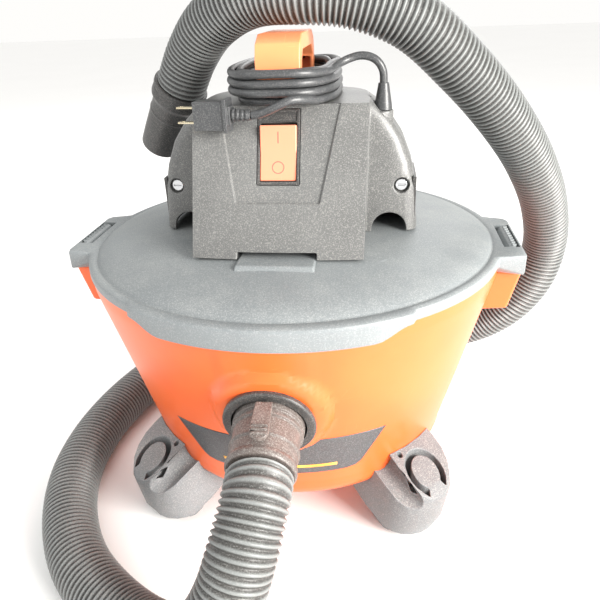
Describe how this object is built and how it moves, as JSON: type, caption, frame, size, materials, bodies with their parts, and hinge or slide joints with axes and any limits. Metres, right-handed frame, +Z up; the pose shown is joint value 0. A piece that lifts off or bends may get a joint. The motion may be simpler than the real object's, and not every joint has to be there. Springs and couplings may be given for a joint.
{
  "type": "wet and dry shop vacuum",
  "caption": "Canister shop vacuum: tapered tank on caster feet, latched motor lid with rocker switch, carry handle, wound cord and a ribbed hose laid around and over it.",
  "frame": {"origin": "on the floor, on the tank's axis", "axes": "+Z up, -Y towards the hose inlet at the front, +X to the right seen from the front"},
  "size_m": [0.6176, 0.6235, 0.5437],
  "materials": {
    "tank_orange": "moulded polypropylene, orange",
    "trim_orange": "orange, satin",
    "lid_grey": "blue grey, satin grain",
    "cover_grey": "dark grey, fine grain",
    "foot_grey": "dark grey, dusty",
    "black_plastic": "black, satin",
    "hose_plastic": "dark grey corrugated polyethylene",
    "cord_rubber": "black jacket",
    "gasket_rubber": "black foam rubber",
    "wheel_plastic": "black nylon",
    "steel": "zinc plated",
    "brass": "plain",
    "filter_paper": "pleated paper",
    "float_plastic": "white"
  },
  "bodies": {
    "tank": {"drum": "tank_orange", "inlet_port": "black_plastic", "hose_inlet_cuff": "black_plastic", "hose": "hose_plastic", "caster_foot_front_right": "foot_grey", "caster_foot_front_left": "foot_grey", "caster_foot_rear_right": "foot_grey", "caster_foot_rear_left": "foot_grey"},
    "caster_front_right": {"caster_fork_front_right": "black_plastic", "caster_axle_front_right": "steel"},
    "wheel_front_right": {"caster_wheel_front_right": "wheel_plastic"},
    "caster_front_left": {"caster_fork_front_left": "black_plastic", "caster_axle_front_left": "steel"},
    "wheel_front_left": {"caster_wheel_front_left": "wheel_plastic"},
    "caster_rear_right": {"caster_fork_rear_right": "black_plastic", "caster_axle_rear_right": "steel"},
    "wheel_rear_right": {"caster_wheel_rear_right": "wheel_plastic"},
    "caster_rear_left": {"caster_fork_rear_left": "black_plastic", "caster_axle_rear_left": "steel"},
    "wheel_rear_left": {"caster_wheel_rear_left": "wheel_plastic"},
    "lock_tab": {"lock_tab": "black_plastic"},
    "latch_right": {"latch_right": "cover_grey"},
    "latch_left": {"latch_left": "cover_grey"},
    "rocker": {"rocker": "trim_orange"},
    "rotor": {"armature": "steel", "impeller": "steel", "impeller_nut": "steel", "cooling_fan": "black_plastic"},
    "float": {"float_ball": "float_plastic"},
    "lid": {"hose_end_cuff": "black_plastic", "side_grille_right": "black_plastic", "side_grille_left": "black_plastic", "switch_bezel": "black_plastic", "blower_housing": "black_plastic", "filter_cage": "black_plastic", "filter_plate": "black_plastic", "filter_nut": "black_plastic", "lid": "lid_grey", "lid_gasket": "gasket_rubber", "motor_cover": "cover_grey", "latch_pin_right": "steel", "latch_pin_left": "steel", "cover_screw_front_right": "steel", "cover_screw_front_left": "steel", "cover_screw_rear_right": "steel", "cover_screw_rear_left": "steel", "handle_screw_front": "steel", "handle_screw_rear": "steel", "motor_housing": "steel", "bearing_lower": "steel", "bearing_upper": "steel", "carry_handle": "trim_orange", "strain_relief": "cord_rubber", "power_cord": "cord_rubber", "cord_coil": "cord_rubber", "cord_tail": "cord_rubber", "plug": "cord_rubber", "plug_blade_upper": "brass", "plug_blade_lower": "brass", "filter_cartridge": "filter_paper"}
  },
  "joints": [
    {"name": "lid_lift", "type": "slide", "parent": "tank", "child": "lid", "axis": [0, 0, 1], "range_m": [0, 0.16], "deforming": ["hose"]},
    {"name": "caster_swivel_front_right", "type": "hinge", "parent": "tank", "child": "caster_front_right", "pos_m": [0.11941, -0.11531, 0.05], "axis": [0, 0, 1], "continuous": true},
    {"name": "wheel_spin_front_right", "type": "hinge", "parent": "caster_front_right", "child": "wheel_front_right", "pos_m": [0.1266, -0.12226, 0.02], "axis": [0.6947, 0.7193, 0], "continuous": true},
    {"name": "caster_swivel_front_left", "type": "hinge", "parent": "tank", "child": "caster_front_left", "pos_m": [-0.11941, -0.11531, 0.05], "axis": [0, 0, 1], "continuous": true},
    {"name": "wheel_spin_front_left", "type": "hinge", "parent": "caster_front_left", "child": "wheel_front_left", "pos_m": [-0.1266, -0.12226, 0.02], "axis": [-0.6947, 0.7193, 0], "continuous": true},
    {"name": "caster_swivel_rear_right", "type": "hinge", "parent": "tank", "child": "caster_rear_right", "pos_m": [0.11941, 0.11531, 0.05], "axis": [0, 0, 1], "continuous": true},
    {"name": "wheel_spin_rear_right", "type": "hinge", "parent": "caster_rear_right", "child": "wheel_rear_right", "pos_m": [0.1266, 0.12226, 0.02], "axis": [0.6947, -0.7193, 0], "continuous": true},
    {"name": "caster_swivel_rear_left", "type": "hinge", "parent": "tank", "child": "caster_rear_left", "pos_m": [-0.11941, 0.11531, 0.05], "axis": [0, 0, 1], "continuous": true},
    {"name": "wheel_spin_rear_left", "type": "hinge", "parent": "caster_rear_left", "child": "wheel_rear_left", "pos_m": [-0.1266, 0.12226, 0.02], "axis": [-0.6947, -0.7193, 0], "continuous": true},
    {"name": "latch_right_swing", "type": "hinge", "parent": "lid", "child": "latch_right", "pos_m": [0.21925, -0.006, 0.2723], "axis": [0, -1, 0], "range_deg": [0, 10]},
    {"name": "latch_left_swing", "type": "hinge", "parent": "lid", "child": "latch_left", "pos_m": [-0.21925, -0.006, 0.2723], "axis": [0, 1, 0], "range_deg": [0, 10]},
    {"name": "switch_rock", "type": "hinge", "parent": "lid", "child": "rocker", "pos_m": [0, -0.07641, 0.38682], "axis": [-1, 0, 0], "range_deg": [0, 16]},
    {"name": "rotor_spin", "type": "hinge", "parent": "lid", "child": "rotor", "pos_m": [0, 0, 0.35], "axis": [0, 0, 1], "continuous": true},
    {"name": "float_rise", "type": "slide", "parent": "lid", "child": "float", "axis": [0, 0, 1], "range_m": [0, 0.072]},
    {"name": "lock_tab_press", "type": "hinge", "parent": "tank", "child": "lock_tab", "pos_m": [0, -0.2165, 0.2154], "axis": [1, 0, 0], "range_deg": [0, 4], "stiffness_Nm_per_rad": 0.5}
  ]
}
